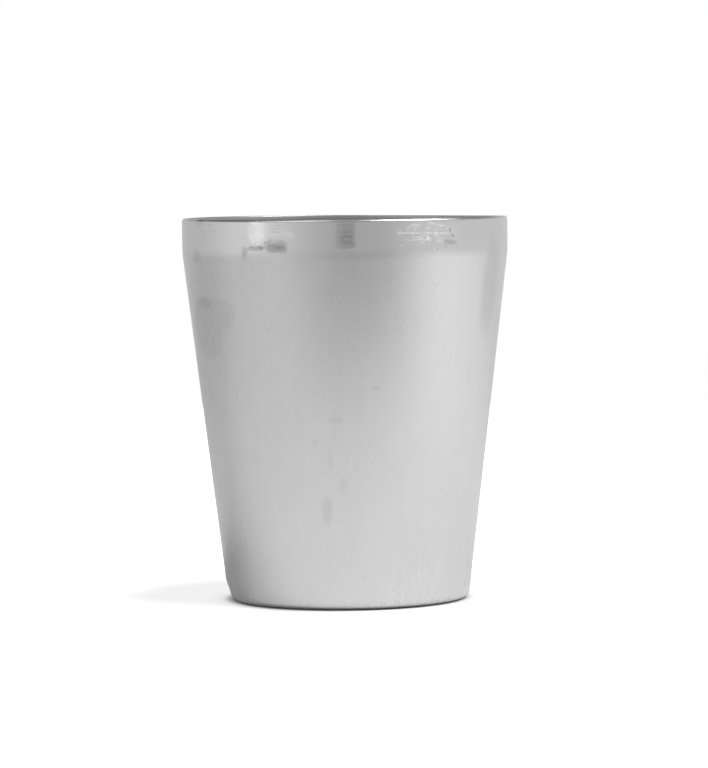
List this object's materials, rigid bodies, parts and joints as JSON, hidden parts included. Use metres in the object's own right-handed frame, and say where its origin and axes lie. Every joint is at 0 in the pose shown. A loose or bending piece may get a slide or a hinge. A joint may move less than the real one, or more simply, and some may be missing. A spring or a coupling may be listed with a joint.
{
  "type": "deep drawn metal cup",
  "caption": "Plain tapered drinking cup drawn from one piece of sheet metal, with a short straight collar at the mouth and a flat foot.",
  "frame": {"origin": "centre of the flat foot, on the surface that the cup stands on", "axes": "+Z along the cup's axis, out of the mouth; the cup is round, so +X and +Y are free, and -Y faces the viewer of its marks"},
  "size_m": [0.074, 0.074, 0.087],
  "materials": {
    "drawn_aluminium": "satin, as drawn, with burnished scuffs round the collar"
  },
  "bodies": {
    "root": {"cup": "drawn_aluminium"}
  },
  "joints": []
}
